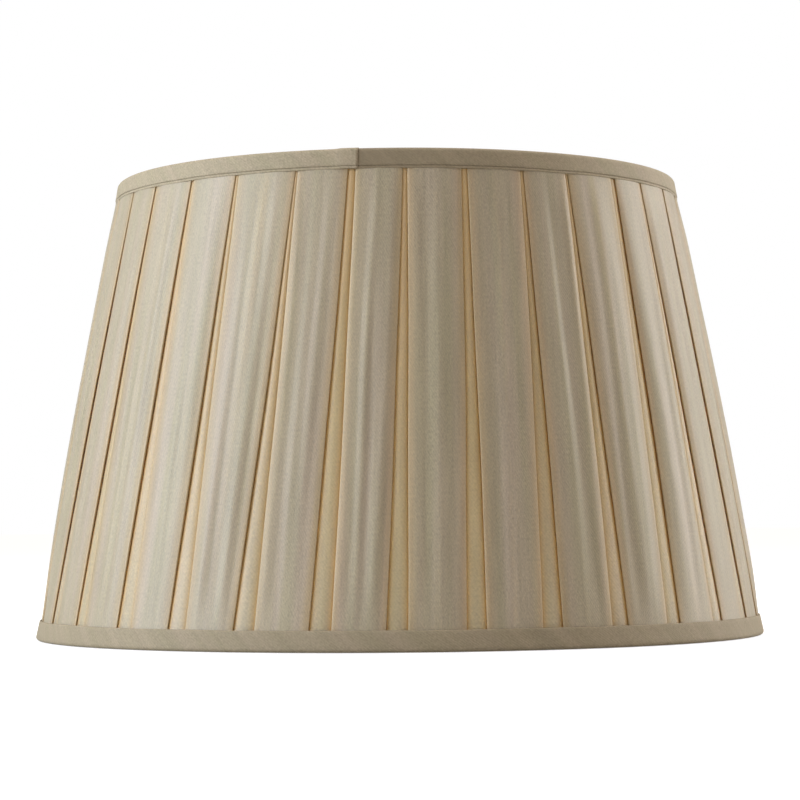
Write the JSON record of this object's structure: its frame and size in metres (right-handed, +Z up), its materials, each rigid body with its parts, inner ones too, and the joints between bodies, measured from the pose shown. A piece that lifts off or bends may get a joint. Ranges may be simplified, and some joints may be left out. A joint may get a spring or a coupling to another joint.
{
  "type": "lamp shade",
  "caption": "Tapered drum lamp shade: box-pleated cloth cover and lining on a strutted wire frame, bound rims, and a swinging gimbal with a fitter ring and reducer.",
  "frame": {"origin": "on the shade's axis, at the plane of the bottom rim", "axes": "+Z up along the shade's axis, from the wide rim to the narrow one; X along the gimbal's pivots; -Y the front"},
  "size_m": [0.3993, 0.3993, 0.25],
  "materials": {
    "cover_fabric": "box-pleated satin-faced cloth in a warm champagne beige, with a fine twill and a soft sheen",
    "binding_fabric": "the same satin-faced cloth cut on the bias and folded over the rims",
    "lining_fabric": "thin ivory lining cloth, plain and matt",
    "frame_wire": "white powder-coated steel wire, welded",
    "fitter_steel": "white powder-coated steel, satin",
    "white_plastic": "moulded off-white plastic, satin"
  },
  "bodies": {
    "shade": {"top_ring": "frame_wire", "bottom_ring": "frame_wire", "strut_1": "frame_wire", "strut_2": "frame_wire", "strut_3": "frame_wire", "strut_4": "frame_wire", "strut_5": "frame_wire", "strut_6": "frame_wire", "strut_7": "frame_wire", "strut_8": "frame_wire", "cover_back": "cover_fabric", "cover_front": "cover_fabric", "lining_back": "lining_fabric", "lining_front": "lining_fabric", "top_binding": "binding_fabric", "bottom_binding": "binding_fabric", "pivot_lug_left": "fitter_steel", "pivot_lug_right": "fitter_steel"},
    "gimbal": {"fitter_ring": "fitter_steel", "gimbal_arm_left": "fitter_steel", "gimbal_arm_right": "fitter_steel", "pivot_cap_left": "white_plastic", "pivot_cap_right": "white_plastic"},
    "reducer": {"reducer_ring": "white_plastic"}
  },
  "joints": [
    {"name": "gimbal_pivot", "type": "hinge", "parent": "shade", "child": "gimbal", "pos_m": [0, 0, 0.2394], "axis": [1, 0, 0], "continuous": true},
    {"name": "reducer_lift", "type": "slide", "parent": "gimbal", "child": "reducer", "axis": [0, 0, 1], "range_m": [0, 0.04]}
  ]
}
